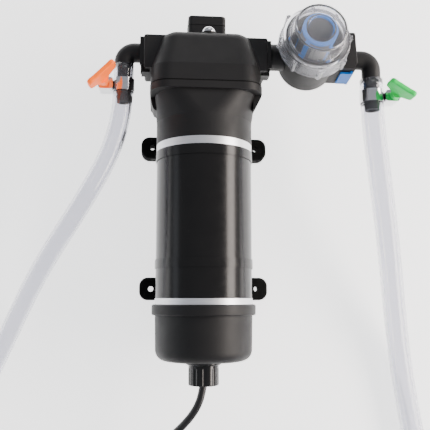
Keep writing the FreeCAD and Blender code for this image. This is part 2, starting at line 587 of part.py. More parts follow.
def make_head():
    value = {k: number(v) for k, v in D.items()}
    base = value["seam"] + value["gasket"]
    start = rounded_wire(value["flange_half_x"] - 0.3, value["flange_half_z"] - 0.3, value["corner"], base)
    step = rounded_wire(value["flange_half_x"] - 1.2, value["flange_half_z"] - 1.2, value["corner"],
                        value["head_step"])
    top = rounded_wire(value["head_top_half_x"], value["head_top_half_z"], value["corner"] - 2,
                       value["head_top"])
    dome = Part.makeLoft([start, step, top], True, True)
    rim = [e for e in dome.Edges if all(abs(v.Point.y - value["head_top"]) < 0.01 for v in e.Vertexes)]
    shell = solid("head_shell", dome.makeFillet(value["head_round"], rim))

    depth = D["block_front"] - D["block_rear"]
    rise = D["block_high"] - D["block_low"]
    blocks = []
    for side in (-1, 1):
        x = -D["block_face"] if side < 0 else D["block_face"] - 26.0
        low = D["axis_height"] + D["block_low"]
        slab = block(26.0, depth, rise, (x, D["block_rear"], low))
        blocks.append(rounded(slab, 2.0, lambda e, s=side: abs(e.BoundBox.Center.x - s * value["block_face"]) < 0.1))
        for up in (-1, 1):
            rail_low = PORT_Z + (D["clip_half"] + 0.3 if up > 0 else -D["clip_half"] - 2.3)
            lip_low = PORT_Z + (D["clip_half"] - 1.2 if up > 0 else -D["clip_half"] - 2.3)
            out = D["block_face"] - 0.5
            blocks.append(block(4.2, 27.0, 2.0, (out if side > 0 else -out - 4.2, D["block_rear"] + 4, rail_low)))
            lip = D["block_face"] + D["clip_thick"] + 0.2
            blocks.append(block(1.2, 27.0, 3.5, (lip if side > 0 else -lip - 1.2, D["block_rear"] + 4, lip_low)))
    seat = cylinder(7.6, 9.0, (D["adjuster_x"], D["head_top"] - 8, D["axis_height"] + D["adjuster_z"]))

    mouth = turned([(0.0, 110.0), (D["cavity_radius"], 110.0), (D["cavity_radius"], D["chamber_rear"]),
                    (0.0, D["chamber_rear"])])
    chamber = cut(cylinder(D["chamber_radius"], D["chamber_front"] - D["chamber_rear"] + 1,
                           (0.0, D["chamber_rear"] - 1, D["axis_height"])),
                  block(3.0, 60.0, 90.0, (-1.5, 110.0, 10.0)))
    ways = [mouth, chamber]
    for side, along in ((-1, "-X"), (1, "X")):
        def at(x):
            return (x * side, D["port_y"], PORT_Z)
        ways.append(cylinder(D["socket_radius"], 40.0, at(D["spigot_end"] - 1), along))
        ways.append(cylinder(D["collar_radius"] + 0.2, 20.0, at(D["block_face"] - 3.6), along))
        ways.append(cylinder(5.5, 20.0, at(D["spigot_end"] - 14), along))
    for sx in (-1, 1):
        for sz in (-1, 1):
            x, z = D["screw_x"] * sx, D["axis_height"] + D["screw_z"] * sz
            ways.append(cylinder(2.3, 70.0, (x, 112.0, z)))
            ways.append(cylinder(4.6, 20.0, (x, D["head_top"] - 10, z)))
    ways.append(cylinder(2.58, 20.0, (D["adjuster_x"], D["head_top"] - 18, D["axis_height"] + D["adjuster_z"])))
    ways.append(cylinder(D["plunger_radius"] + 0.08, 20.0,
                         (D["plunger_x"], D["chamber_front"] - 3, D["axis_height"])))
    node("pump_head", cut(fuse(shell, *blocks, seat), *ways))

    screws = []
    for sx in (-1, 1):
        for sz in (-1, 1):
            x, z = D["screw_x"] * sx, D["axis_height"] + D["screw_z"] * sz
            shank = cylinder(2.2, D["head_top"] - D["seam"] - 1, (x, D["seam"] - 8, z))
            cap = cylinder(4.2, 3.4, (x, D["head_top"] - 9.9, z))
            socket = cylinder(1.6, 2.5, (x, D["head_top"] - 8.4, z))
            screws.append(cut(fuse(shank, cap), socket))
    node("head_screws", fuse(*screws))


# ---------------------------------------------------------------- pressure switch

def make_switch():
    half, wall, depth = D["switch_half_x"], D["switch_wall"], D["switch_high"] - D["switch_low"]
    x, low = D["switch_x"] - half, D["axis_height"] + D["switch_low"]
    base = D["head_top"] + 0.1

    def upright(edge):
        return edge.BoundBox.YLength > 4 and edge.BoundBox.XLength < 0.1 and edge.BoundBox.ZLength < 0.1

    outer = rounded(block(half * 2, D["switch_seam"] - base, depth, (x, base, low)), 4.0, upright)
    inner = block(half * 2 - wall * 2, 30.0, depth - wall * 2, (x + wall, base + 2, low + wall))
    hole = cylinder(D["plunger_radius"] + 0.08, 10.0, (D["plunger_x"], base - 2, D["axis_height"]))
    node("switch_box", cut(outer, inner, hole))

    lid = rounded(block(half * 2, D["switch_top"] - D["switch_seam"] - 0.5, depth,
                        (x, D["switch_seam"] + 0.5, low)), 4.0, upright)
    top = number(D["switch_top"])
    lid = rounded(lid, 1.8, lambda e: abs(e.BoundBox.YMin - top) < 0.01)
    hollow = block(half * 2 - wall * 2, 8.0, depth - wall * 2, (x + wall, D["switch_seam"] - 0.5, low + wall))
    lip = cut(block(half * 2 - wall, 1.4, depth - wall, (x + wall / 2, D["switch_seam"] + 0.05, low + wall / 2)),
              block(half * 2 - wall * 2, 8.0, depth - wall * 2, (x + wall, D["switch_seam"] - 1.5, low + wall)))
    node("switch_cover", fuse(cut(lid, hollow), lip))

    body = block(22.0, 7.0, 10.0, (D["switch_x"] - 15.5, D["head_top"] + 8.5, D["axis_height"] - 5.0))
    tabs = [block(1.0, 3.4, 5.0, (D["switch_x"] + dx, D["head_top"] + 15, D["axis_height"] - 2.5))
            for dx in (-11.0, -5.0, 1.0)]
    node("microswitch", fuse(body, *tabs))

    at = (D["plunger_x"], 0.0, D["axis_height"])
    r, top = D["plunger_radius"], D["head_top"]
    node("switch_plunger", turned(
        [(0.0, top - 8.5), (r, top - 8.5), (r, top + 4), (4.6, top + 4), (4.6, top + 5.2), (2.0, top + 5.2),
         (2.0, top + 7), (0.0, top + 7)], at=at))

    reach = D["adjuster_radius"]
    floor = D["head_top"] + 1.1
    node("adjust_screw", turned(
        [(0.0, D["head_top"] - 15), (2.5, D["head_top"] - 15), (2.5, floor), (reach, floor), (reach, floor + 6.4),
         (0.0, floor + 6.4)], at=(D["adjuster_x"], 0.0, D["axis_height"] + D["adjuster_z"]),
        rounds=((reach, floor + 6.4, 5.2),)))


# ---------------------------------------------------------------- elbows, clips and strainer

def make_elbow(name, side, pieces_in_port, bores_in_port, leg_x, shoulder, tail, tail_radius, tail_core):
    """A swept elbow: its port end comes ready made; the bend and the barbed leg, pointing to -Y, are added."""
    turn_x = leg_x - D["bend_radius"]
    corner_y = D["port_y"] - D["bend_radius"]
    sweep_turn = Rotation(Vector(0, 1, 0), 0 if side > 0 else 180)
    bend = [torus(D["bend_radius"], r, (turn_x * side, corner_y, PORT_Z), sweep=90.0, turn=sweep_turn)
            for r in (D["tube_radius"], D["tube_bore"])]
    leg = (leg_x * side, corner_y, PORT_Z)
    stub = cylinder(D["tube_radius"], corner_y - shoulder, leg, "-Y")
    core = cylinder(tail_core, shoulder - tail, (leg_x * side, shoulder, PORT_Z), "-Y")
    barbs = []
    for i in range(3):
        barbs.append(cone(tail_radius, tail_core - 0.4, 6.0, (leg_x * side, tail + 6 + 9.0 * i, PORT_Z), "-Y"))
    bore = cylinder(D["tube_bore"], corner_y - tail + 2, leg, "-Y")
    node(name, cut(fuse(*pieces_in_port, bend[0], stub, core, *barbs), *bores_in_port, bend[1], bore))


def port_turned(points, side):
    """A piece turned about the port axis; its stations are distances from the motor axis, on either side."""
    return turned(points, at=(0.0, D["port_y"], PORT_Z), turn=Rotation(Vector(0, 0, 1), -90 * side))


def make_elbows():
    face, end = D["block_face"], D["spigot_end"]
    spigot, groove, tube = D["spigot_radius"], D["groove_radius"], D["tube_radius"]
    straight = port_turned([
        (0.0, end), (spigot, end), (spigot, end + 6), (6.7, end + 6), (6.7, end + 8.4), (spigot, end + 8.4),
        (spigot, face - 3.4), (D["collar_radius"], face - 3.4), (D["collar_radius"], face - 0.1),
        (groove, face - 0.1), (groove, face + 2.7), (tube, face + 2.7), (tube, D["outlet_leg_x"] - D["bend_radius"]),
        (0.0, D["outlet_leg_x"] - D["bend_radius"])], -1)
    bore = cylinder(D["tube_bore"] + 0.6, D["outlet_leg_x"] - D["bend_radius"] - end + 2,
                    (-end + 1, D["port_y"], PORT_Z), "-X")
    make_elbow("outlet_elbow", -1, [straight], [bore], D["outlet_leg_x"], D["outlet_shoulder"], D["outlet_tail"],
               D["outlet_tail_radius"], D["outlet_tail_radius"] - 0.6)

    face, slot = D["inlet_face"], D["inlet_slot"]
    start = face - 19
    straight = port_turned([
        (0.0, start), (spigot, start), (spigot, start + 4), (6.7, start + 4), (6.7, start + 6.4),
        (spigot, start + 6.4), (spigot, slot), (groove, slot), (groove, slot + 2.8), (spigot, slot + 2.8),
        (spigot, face + 0.2), (tube, face + 0.2), (tube, D["inlet_leg_x"] - D["bend_radius"]),
        (0.0, D["inlet_leg_x"] - D["bend_radius"])], 1)
    bore = cylinder(D["tube_bore"] + 0.6, D["inlet_leg_x"] - D["bend_radius"] - start + 2,
                    (start - 1, D["port_y"], PORT_Z), "X")
    make_elbow("inlet_elbow", 1, [straight], [bore], D["inlet_leg_x"], D["inlet_shoulder"], D["inlet_tail"],
               D["inlet_tail_radius"], D["inlet_tail_radius"] - 0.7)

    rings = [
        torus(7.62, 0.9, (x, D["port_y"], PORT_Z), "X")
        for x in (-end - 7.2, end + 7.2, start + 5.2)
    ]
    node("port_orings", fuse(*rings))


STRAINER_AT = (0.0, D["port_y"], PORT_Z)
STRAINER_TURN = Rotation(Vector(1, 0, 0), -number(D["strainer_tilt"]))


def strainer_node(name, *things):
    """Strainer pieces are built upright about the port axis, then lean with it as one group."""
    group = doc.addObject("Part::Compound", "group")
    group.Links = list(things)
    node(name, group, STRAINER_AT, STRAINER_TURN)


def make_clip(thing_x, side, handle, heel, drop, tab_low, tab_high):
    """A fork across a fitting's groove, with a tab and a handle bent towards the body at its closed end."""
    thick, half, gap = D["clip_thick"], D["clip_half"], D["clip_gap"]
    prong = D["clip_prong"]
    x = thing_x if side > 0 else -thing_x - thick
    fork = block(thick, heel + prong, half * 2, (x, -heel, -half))
    tab = block(thick, drop - heel + 4, tab_high - tab_low, (x, -drop, tab_low))
    mouth = block(thick + 2, prong + 2, gap * 2, (x - 1, 0.0, -gap))
    bight = cylinder(gap, thick + 2, (x - 1, 0.0, 0.0), "X")
    reach = x - handle if side > 0 else x
    grip = block(handle + thick, 2.0, tab_high - tab_low, (reach, -drop, tab_low))
    return cut(fuse(fork, tab, grip), mouth, bight)


def make_clips():
    for name, side in (("outlet_clip", -1), ("inlet_clip", 1)):
        clip = make_clip(D["block_face"] + 0.1, side, D["clip_handle"], D["clip_heel"], D["clip_drop"],
                         D["clip_tab_low"], D["clip_tab_high"])
        node(name, clip, STRAINER_AT)
    flat, drop = D["clip_half"] - 1, D["strainer_clip_drop"]
    strainer_node("strainer_clip", make_clip(D["inlet_slot"] + 0.25, 1, D["strainer_clip_handle"], drop, drop,
                                             -flat, flat))


def upright_turned(points, rounds=()):
    """Turned about the bowl's own axis, in the strainer's upright frame: stations run up from the port axis."""
    return turned(points, at=(D["strainer_x"], 0.0, 0.0), turn=Rotation(Vector(1, 0, 0), 90), rounds=rounds)


def make_strainer():
    cup, shoulder, mouth, low = D["cup_radius"], D["cup_shoulder"], D["cup_mouth"], D["cup_end"]
    shell = upright_turned([(0.0, low), (cup, low), (cup, shoulder), (D["thread_radius"], shoulder),
                            (D["thread_radius"], mouth), (0.0, mouth)], rounds=((cup, low, D["cup_round"]),))
    hollow = upright_turned([(0.0, low + 3), (D["cup_cavity"], low + 3), (D["cup_cavity"], mouth + 1),
                             (0.0, mouth + 1)], rounds=((D["cup_cavity"], low + 3, 5.4),))
    threads = [torus(D["thread_radius"], 0.4, (D["strainer_x"], 0.0, shoulder + 2 + 2.6 * i)) for i in range(3)]

    face, end, groove = D["block_face"], D["spigot_end"], D["groove_radius"]
    neck = turned([
        (0.0, end), (D["spigot_radius"], end), (D["spigot_radius"], end + 6), (6.7, end + 6), (6.7, end + 8.4),
        (D["spigot_radius"], end + 8.4), (D["spigot_radius"], face - 3.4), (D["collar_radius"], face - 3.4),
        (D["collar_radius"], face - 0.1), (groove, face - 0.1), (groove, face + 2.7), (9.4, face + 2.7),
        (9.4, face + 4.1), (D["neck_radius"], face + 5.1),
        (D["neck_radius"], D["strainer_x"] - 20), (0.0, D["strainer_x"] - 20)],
        at=(0.0, 0.0, 0.0), turn=Rotation(Vector(0, 0, 1), -90))

    block_low, rise = D["inlet_block_low"], D["inlet_block_high"] - D["inlet_block_low"]
    slot, out = D["inlet_slot"], D["inlet_face"]
    inner = block(slot - D["strainer_x"] - 20 + 4, D["inlet_inner_half"] * 2, rise,
                  (D["strainer_x"] + 20, -D["inlet_inner_half"], block_low))
    flange = block(out - slot + 0.4, D["inlet_block_half"] + D["inlet_flange_low"], rise,
                   (slot - 0.4, -D["inlet_flange_low"], block_low))
    out_x = number(out)
    flange = rounded(flange, 4.0, lambda e: e.BoundBox.XLength > 3 and e.BoundBox.YLength < 0.1)
    flange = rounded(flange, 1.2, lambda e: e.BoundBox.XMin > out_x - 0.05)
    slit = block(2.8, 60.0, D["clip_half"] * 2 + 0.6, (slot, -50.0, -D["clip_half"] - 0.3))
    bores = [
        cylinder(5.5, D["strainer_x"] - end + 4, (end - 1, 0.0, 0.0), "X"),
        cylinder(D["socket_radius"], 40.0, (out - 20, 0.0, 0.0), "X"),
    ]
    strainer_node("strainer_body", cut(fuse(shell, neck, inner, flange, *threads), hollow, slit, *bores))
    strainer_node("bowl_oring", torus(26.4, 0.98, (D["strainer_x"], 0.0, mouth + 1.05)))

    wall, top, rim_high = D["bowl_wall"], D["bowl_top"], D["bowl_rim_high"]
    base_r, top_r, dimple = D["bowl_base_radius"], D["bowl_top_radius"], D["dimple_radius"]
    thread, skirt_low = D["thread_radius"] + 0.55, D["bowl_skirt_low"]
    bowl = upright_turned(
        [(thread, skirt_low), (D["bowl_skirt_radius"], skirt_low), (D["bowl_rim_radius"], rim_high + 1.5),
         (base_r + 1.4, rim_high + 2.4), (base_r, rim_high + 4), (top_r, top), (dimple + 1, top), (dimple, top - 2.6),
         (0.0, top - 2.6), (0.0, top - 4.6), (dimple + 1.4, top - 4.6), (dimple + 2.6, top - wall),
         (top_r - wall, top - wall), (base_r - wall - 0.2, rim_high + 3), (base_r - wall - 0.2, mouth + 2.1),
         (thread, mouth + 2.1)],
        rounds=((top_r, top, 2.6), (D["bowl_rim_radius"], rim_high + 1.5, 0.8)))
    lugs = []
    for i in range(int(number(D["lug_count"]))):
        angle = math.radians(number(D["lug_start"]) + 360 * i / number(D["lug_count"]))
        at = (D["strainer_x"] + 32.2 * math.cos(angle), 32.2 * math.sin(angle), skirt_low)
        lugs.append(cylinder(2.6, 13.0, at, "Z"))
    bore = cylinder(thread, mouth + 2 - skirt_low, (D["strainer_x"], 0.0, skirt_low - 0.5), "Z")
    strainer_node("strainer_bowl", cut(fuse(bowl, *lugs), bore))

    radius, low, high = D["screen_radius"], D["screen_low"], D["screen_high"]
    strainer_node("screen_mesh", upright_turned([(radius - 0.4, low + 2), (radius, low + 2), (radius, high - 2.6),
                                                 (radius - 0.4, high - 2.6)]))
    rings = [
        upright_turned([(radius - 2, start), (radius + 1.2, start), (radius + 1.2, start + deep),
                        (radius - 2, start + deep)])
        for start, deep in ((low, 1.95), (high - 2.55, 2.55))
    ]
    ribs = []
    for i in range(4):
        turn = Rotation(Vector(0, 0, 1), 45 + 90 * i)
        corner = turn.multVec(Vector(number(radius) + 0.04, -2.2, 0))
        rib = doc.addObject("Part::Box", "rib")
        rib.Length, rib.Width = 1.1, 4.4
        bind(rib, "Height", high - low - 1)
        ribs.append(put(rib, (D["strainer_x"] + corner.x, corner.y, low + 0.5), turn))
    strainer_node("screen_frame", fuse(*rings, *ribs))


# ---------------------------------------------------------------- hose clamps

def make_clamp(name, leg_x, side, hose_radius, station, half, foot, turn_angle):
    """A band round the hose with its screw housing on the outer side, and a winged key on the screw."""
    width, inner = D["clamp_width"], hose_radius + 0.06
    outer = inner + D["clamp_thick"]
    low = station - width / 2
    centre = (leg_x * side, low, PORT_Z)
    ring = cut(cylinder(outer, width, centre), cylinder(inner, width + 2, (leg_x * side, low - 1, PORT_Z)))
    reach, half_box = D["clamp_reach"], 5.2
    screw_x = (leg_x + outer + reach) * side
    deep = reach + half_box + 0.4
    house = block(deep, width - 1, 17.0, (screw_x - (half_box if side < 0 else reach + 0.4), low + 0.5, PORT_Z - 8.5))
    house = rounded(house, 2.5, lambda e: e.BoundBox.ZLength > 10)
    keep_out = cylinder(inner, width + 4, (leg_x * side, low - 2, PORT_Z))
    way = cylinder(3.78, 30.0, (screw_x, station, PORT_Z - 12), "Z")
    node(f"{name}_clamp_band", cut(fuse(ring, house), keep_out, way))

    height, thick = D["key_height"], D["key_thick"]
    wing = plate([(-half * 0.32, 0.0), (half * 0.32, 0.0), (half * 0.46, height * 0.24), (half, height * 0.42),
                  (half, height), (half * 0.5, height * 0.95), (-half * 0.5, height * 0.95), (-half, height),
                  (-half, height * 0.42), (-half * 0.46, height * 0.24)], thick, (0.0, 0.0, 0.0),
                 plane="XZ_Plane")
    doc.recompute()
    tall = number(height)
    wing = rounded(wing, 3.4, lambda e: abs(e.BoundBox.XLength) < 0.1 and abs(e.BoundBox.ZLength) < 0.1
                   and e.BoundBox.Center.z > tall * 0.3 and abs(e.BoundBox.Center.x) > number(half) * 0.8)
    wing = rounded(wing, 1.5, lambda e: e.BoundBox.YLength < 0.1)
    boss = cylinder(4.8, 7.0, (0.0, 0.0, -1.0), "Z")
    screw = cylinder(3.7, foot + 8, (0.0, 0.0, -foot - 8.4), "Z")
    turn = Rotation(Vector(0, 0, 1), number(turn_angle))
    key = fuse(wing, boss, screw)
    node(f"{name}_clamp_key", key, (screw_x, station, PORT_Z + foot), turn)
    key.setExpression("Placement.Rotation.Angle", turn_angle.text)


# ---------------------------------------------------------------- hoses, cord and plug

def bent_path(points):
    """Straight runs joined by tangent arcs, each as large as its two runs allow. Returns the wire and its length."""
    corners = [Vector(*p) for p in points]
    edges, here, radii = [], corners[0], []
    for before, corner, after in zip(corners, corners[1:], corners[2:]):
        into, out = (corner - before).normalize(), (after - corner).normalize()
        half_turn = into.getAngle(out) / 2
        setback = 0.45 * min((corner - before).Length, (after - corner).Length)
        radius = setback / math.tan(half_turn)
        radii.append(radius)
        start, end = corner - into * setback, corner + out * setback
        middle = corner + (out - into).normalize() * (radius / math.cos(half_turn) - radius)
        edges.append(Part.LineSegment(here, start).toShape())
        edges.append(Part.Arc(start, middle, end).toShape())
        here = end
    edges.append(Part.LineSegment(here, corners[-1]).toShape())
    wire = Part.Wire(edges)
    return wire, radii


def swept(wire, radius):
    start = wire.Edges[0]
    along = start.tangentAt(start.FirstParameter)
    ring = Part.Wire([Part.makeCircle(radius, start.firstVertex().Point, along)])
    return wire.makePipeShell([ring], True, False, 2)


def make_hose(name, points, radius, bore):
    wire, radii = bent_path(points)
    outer = swept(wire, number(radius))
    shape = outer
    section = math.pi * number(radius) ** 2
    if bore is not None:
        long = wire.copy()
        shape = outer.cut(swept(long, number(bore)))
        section -= math.pi * number(bore) ** 2
    node(name, solid(name, shape))
    print(f"{name}: {wire.Length:.0f} mm, radii {[round(r) for r in radii]} mm, "
          f"volume {shape.Volume / (section * wire.Length):.4f} of section times length")


def make_coil(name, x, y, outer, inner, height):
    """The outer shape of a coil lying on the floor: a flat ring."""
    ring = cut(cylinder(outer, height, (x, y, 0.0), "Z"), cylinder(inner, height + 2, (x, y, -1.0), "Z"))
    node(name, ring)


# Where each line runs, from the place where it leaves the pump to its coil; a point for each turn of its way.
OUTLET_ROUTE = [
    (-76.8, 137.2, 72.0), (-76.9, 110.0, 72.0), (-79.9, 80.0, 71.8), (-89.5, 49.0, 70.5), (-106.0, 18.0, 67.5),
    (-124.5, -12.0, 61.5), (-143.5, -40.0, 50.5), (-161.0, -68.0, 36.0), (-177.0, -97.0, 20.0),
    (-191.5, -127.0, 10.4), (-206.0, -159.0, 9.3), (-222.5, -196.0, 9.3), (-238.5, -237.0, 9.3),
    (-252.0, -283.0, 9.3), (-258.0, -329.0, 9.3),
]
INLET_ROUTE = [
    (162.3, 129.8, 72.0), (162.4, 101.0, 72.0), (165.0, 67.0, 71.0), (170.4, 27.0, 67.0), (177.6, -14.0, 58.0),
    (185.8, -54.0, 44.0), (194.0, -95.0, 28.0), (201.6, -137.0, 16.0), (208.6, -180.0, 11.4),
    (216.0, -224.0, 11.1), (223.0, -268.0, 11.1), (227.2, -308.0, 11.1), (228.0, -345.0, 11.1),
]
CORD_ROUTE = [
    (0.0, -157.7, 58.0), (-1.6, -170.0, 58.0), (-8.0, -184.0, 56.7), (-18.5, -197.0, 52.0), (-31.5, -210.0, 44.0),
    (-45.0, -222.5, 34.0), (-57.0, -235.5, 25.0), (-66.5, -250.0, 19.2), (-72.3, -266.0, 17.6),
]
TAIL_ROUTE = [
    (-68.6, -285.8, 3.6), (-63.0, -298.0, 3.6), (-56.0, -310.0, 3.6), (-48.0, -321.5, 4.4), (-40.5, -331.5, 6.2),
    (-35.2, -342.0, 7.1),
]


def make_lines():
    make_hose("outlet_hose", OUTLET_ROUTE, D["outlet_hose_radius"], D["outlet_hose_bore"])
    make_hose("inlet_hose", INLET_ROUTE, D["inlet_hose_radius"], D["inlet_hose_bore"])
    make_hose("power_cord", CORD_ROUTE, D["cord_radius"], None)
    make_hose("power_cord_tail", TAIL_ROUTE, D["cord_radius"], None)
    for name in ("outlet", "inlet"):
        radius, turn = D[f"{name}_hose_radius"], D[f"{name}_coil_radius"]
        make_coil(f"{name}_hose_coil", D[f"{name}_coil_x"], D[f"{name}_coil_y"], turn + radius, turn - radius,
                  radius * 2 * D["hose_layers"] + 0.2)
    radius = D["cord_radius"]
    make_coil("power_cord_coil", D["cord_coil_x"], D["cord_coil_y"], D["cord_coil_outer"] + radius,
              D["cord_coil_inner"] - radius, radius * 2 * D["cord_layers"] + 0.2)


def make_plug():
    """A plain two-pin plug lying flat beside the coil, its pins away from the cord."""
    x, y, length = D["plug_x"], D["plug_y"], D["plug_length"]
    width, height = D["plug_width"], D["plug_height"]
    body = block(width, length, height, (x - width / 2, y - length, 0.1))
    body = rounded(body, 5.5, lambda e: e.BoundBox.ZLength > 10 or e.BoundBox.YLength > 20)
    tail = cone(6.6, 4.4, 9.0, (x, y - 0.5, height / 2 + 0.1), "Y")
    pins = []
    for side in (-1, 1):
        pin = cylinder(2.0, 19.0, (x + 9.5 * side, y - length - 18.5, height / 2 + 0.1), "Y")
        pins.append(pin)
    node("plug", fuse(body, tail, *pins))


# ---------------------------------------------------------------- check and write

def check():
    bad = [o.Label for o in doc.Objects if {"Invalid", "Error"} & set(o.State)]
    for name, thing in nodes.items():
        shape = thing.Shape
        if shape.isNull() or not shape.isValid() or not shape.Solids or shape.Volume <= 0:
            bad.append(name)
    if bad:
        raise RuntimeError(f"these pieces failed: {bad}")
    if len(nodes) > 60:
        raise RuntimeError(f"{len(nodes)} nodes")


def main():
    make_can()
    make_end_frames()
    make_rotor()
    make_stator()
    make_end_cap()
    make_feet()
    make_lower_housing()
    make_wobble_drive()
    make_valves()
    make_head()
    make_switch()
    make_elbows()
    make_clips()
    make_strainer()
    make_clamp("outlet", D["outlet_leg_x"], -1, D["outlet_hose_radius"], D["outlet_clamp_y"],
               D["outlet_key_half"], D["outlet_key_foot"], D["outlet_key_turn"])
    make_clamp("inlet", D["inlet_leg_x"], 1, D["inlet_hose_radius"], D["inlet_clamp_y"],
               D["inlet_key_half"], D["inlet_key_foot"], D["inlet_key_turn"])
    make_lines()
    make_plug()
    doc.recompute()
    check()
    os.makedirs("parts", exist_ok=True)
    for name, thing in nodes.items():
        thing.Shape.exportStep(f"parts/{name}.step")
    print(len(nodes), "nodes written")


main()
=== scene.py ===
import json
import math

import bmesh
import bpy
from mathutils import Matrix, Vector

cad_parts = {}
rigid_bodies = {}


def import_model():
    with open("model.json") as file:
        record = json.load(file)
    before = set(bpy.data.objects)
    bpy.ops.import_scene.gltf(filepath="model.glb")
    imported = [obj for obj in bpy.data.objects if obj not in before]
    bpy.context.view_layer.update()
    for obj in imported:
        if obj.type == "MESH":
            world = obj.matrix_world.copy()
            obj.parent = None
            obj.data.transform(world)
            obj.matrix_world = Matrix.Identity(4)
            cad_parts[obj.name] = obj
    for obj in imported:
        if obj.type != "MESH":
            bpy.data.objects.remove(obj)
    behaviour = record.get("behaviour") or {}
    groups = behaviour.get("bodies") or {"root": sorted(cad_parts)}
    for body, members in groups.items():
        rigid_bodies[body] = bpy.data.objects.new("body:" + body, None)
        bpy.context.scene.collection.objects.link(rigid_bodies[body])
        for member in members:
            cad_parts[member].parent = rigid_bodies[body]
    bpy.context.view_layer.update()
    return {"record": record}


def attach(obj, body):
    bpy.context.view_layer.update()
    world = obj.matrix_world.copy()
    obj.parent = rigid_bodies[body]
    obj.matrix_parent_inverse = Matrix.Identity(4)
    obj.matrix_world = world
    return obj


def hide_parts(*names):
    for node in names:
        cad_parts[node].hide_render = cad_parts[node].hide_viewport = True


# A diaphragm water pump on its rubber feet: strainer and inlet hose at +X, outlet hose at -X, head at +Y.
# Everything is in metres, in the frame of the CAD model; MM turns the CAD's millimetres into metres.
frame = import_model()
MM = 0.001


def add_object(name, data):
    thing = bpy.data.objects.new(name, data)
    bpy.context.scene.collection.objects.link(thing)
    return thing


# ---------------------------------------------------------------- camera and light

CAMERA_PLACE = (-40.99, -81.1, 644.17)
CAMERA_TURN, CAMERA_TIP, CAMERA_ROLL = math.radians(1.027), math.radians(7.585), math.radians(4)
CAMERA_SENSOR, CAMERA_LENS = 36.0, 52.34
WARM, COOL, WHITE = (1.0, 0.91, 0.84), (0.86, 0.92, 1.0), (1, 1, 1)
SKY_COLOUR, SKY_STRENGTH = (0.9, 0.93, 1.0, 1), 0.5


def make_camera():
    """Nearly straight down on the motor, from a little towards the outlet's side and the gland's end."""
    turn, tip, roll = CAMERA_TURN, CAMERA_TIP, CAMERA_ROLL
    away = (math.sin(turn) * math.cos(tip), math.cos(turn) * math.cos(tip), math.sin(tip))
    right = (math.cos(turn), -math.sin(turn), 0.0)

    def in_frame(v):
        """The direction v, given as (right, down, towards +Y) before the roll, in the CAD's frame."""
        return Vector((
            v[0] * math.cos(roll) + v[1] * math.sin(roll),
            v[2],
            v[0] * math.sin(roll) - v[1] * math.cos(roll),
        ))

    forward, side = in_frame(away), in_frame(right)
    upward = side.cross(forward)
    turn_matrix = Matrix((side, upward, -forward)).transposed().to_4x4()
    data = bpy.data.cameras.new("camera")
    data.sensor_width, data.lens = CAMERA_SENSOR, CAMERA_LENS
    camera = add_object("camera", data)
    camera.matrix_world = Matrix.Translation(Vector(CAMERA_PLACE) * MM) @ turn_matrix
    bpy.context.scene.camera = camera


def make_light(name, place, target, width, length, power, colour=WHITE):
    """A rectangular light at place, facing target."""
    data = bpy.data.lights.new(name, "AREA")
    data.shape, data.size, data.size_y = "RECTANGLE", width, length
    data.energy, data.color = power, colour
    light = add_object(name, data)
    light.location = place
    aim = (Vector(target) - Vector(place)).to_track_quat("-Z", "Y")
    light.rotation_euler = aim.to_euler()


def make_lights():
    """A long strip on the strainer's side draws the can's highlight; two weak boxes and the sky fill in."""
    make_light("strip_right", (1.05, 0.02, 0.62), (0, 0.02, 0.06), 1.5, 0.42, power=31, colour=WARM)
    make_light("box_front", (0.3, 1.7, 1.2), (0, 0.05, 0.06), 1.1, 0.9, power=5)
    make_light("box_left", (-1.5, -0.3, 0.55), (0, 0, 0.06), 1.6, 0.4, power=2.2, colour=COOL)
    world = bpy.data.worlds.new("studio")
    world.use_nodes = True
    background = world.node_tree.nodes["Background"]
    background.inputs["Color"].default_value = SKY_COLOUR
    background.inputs["Strength"].default_value = SKY_STRENGTH
    bpy.context.scene.world = world


# ---------------------------------------------------------------- materials

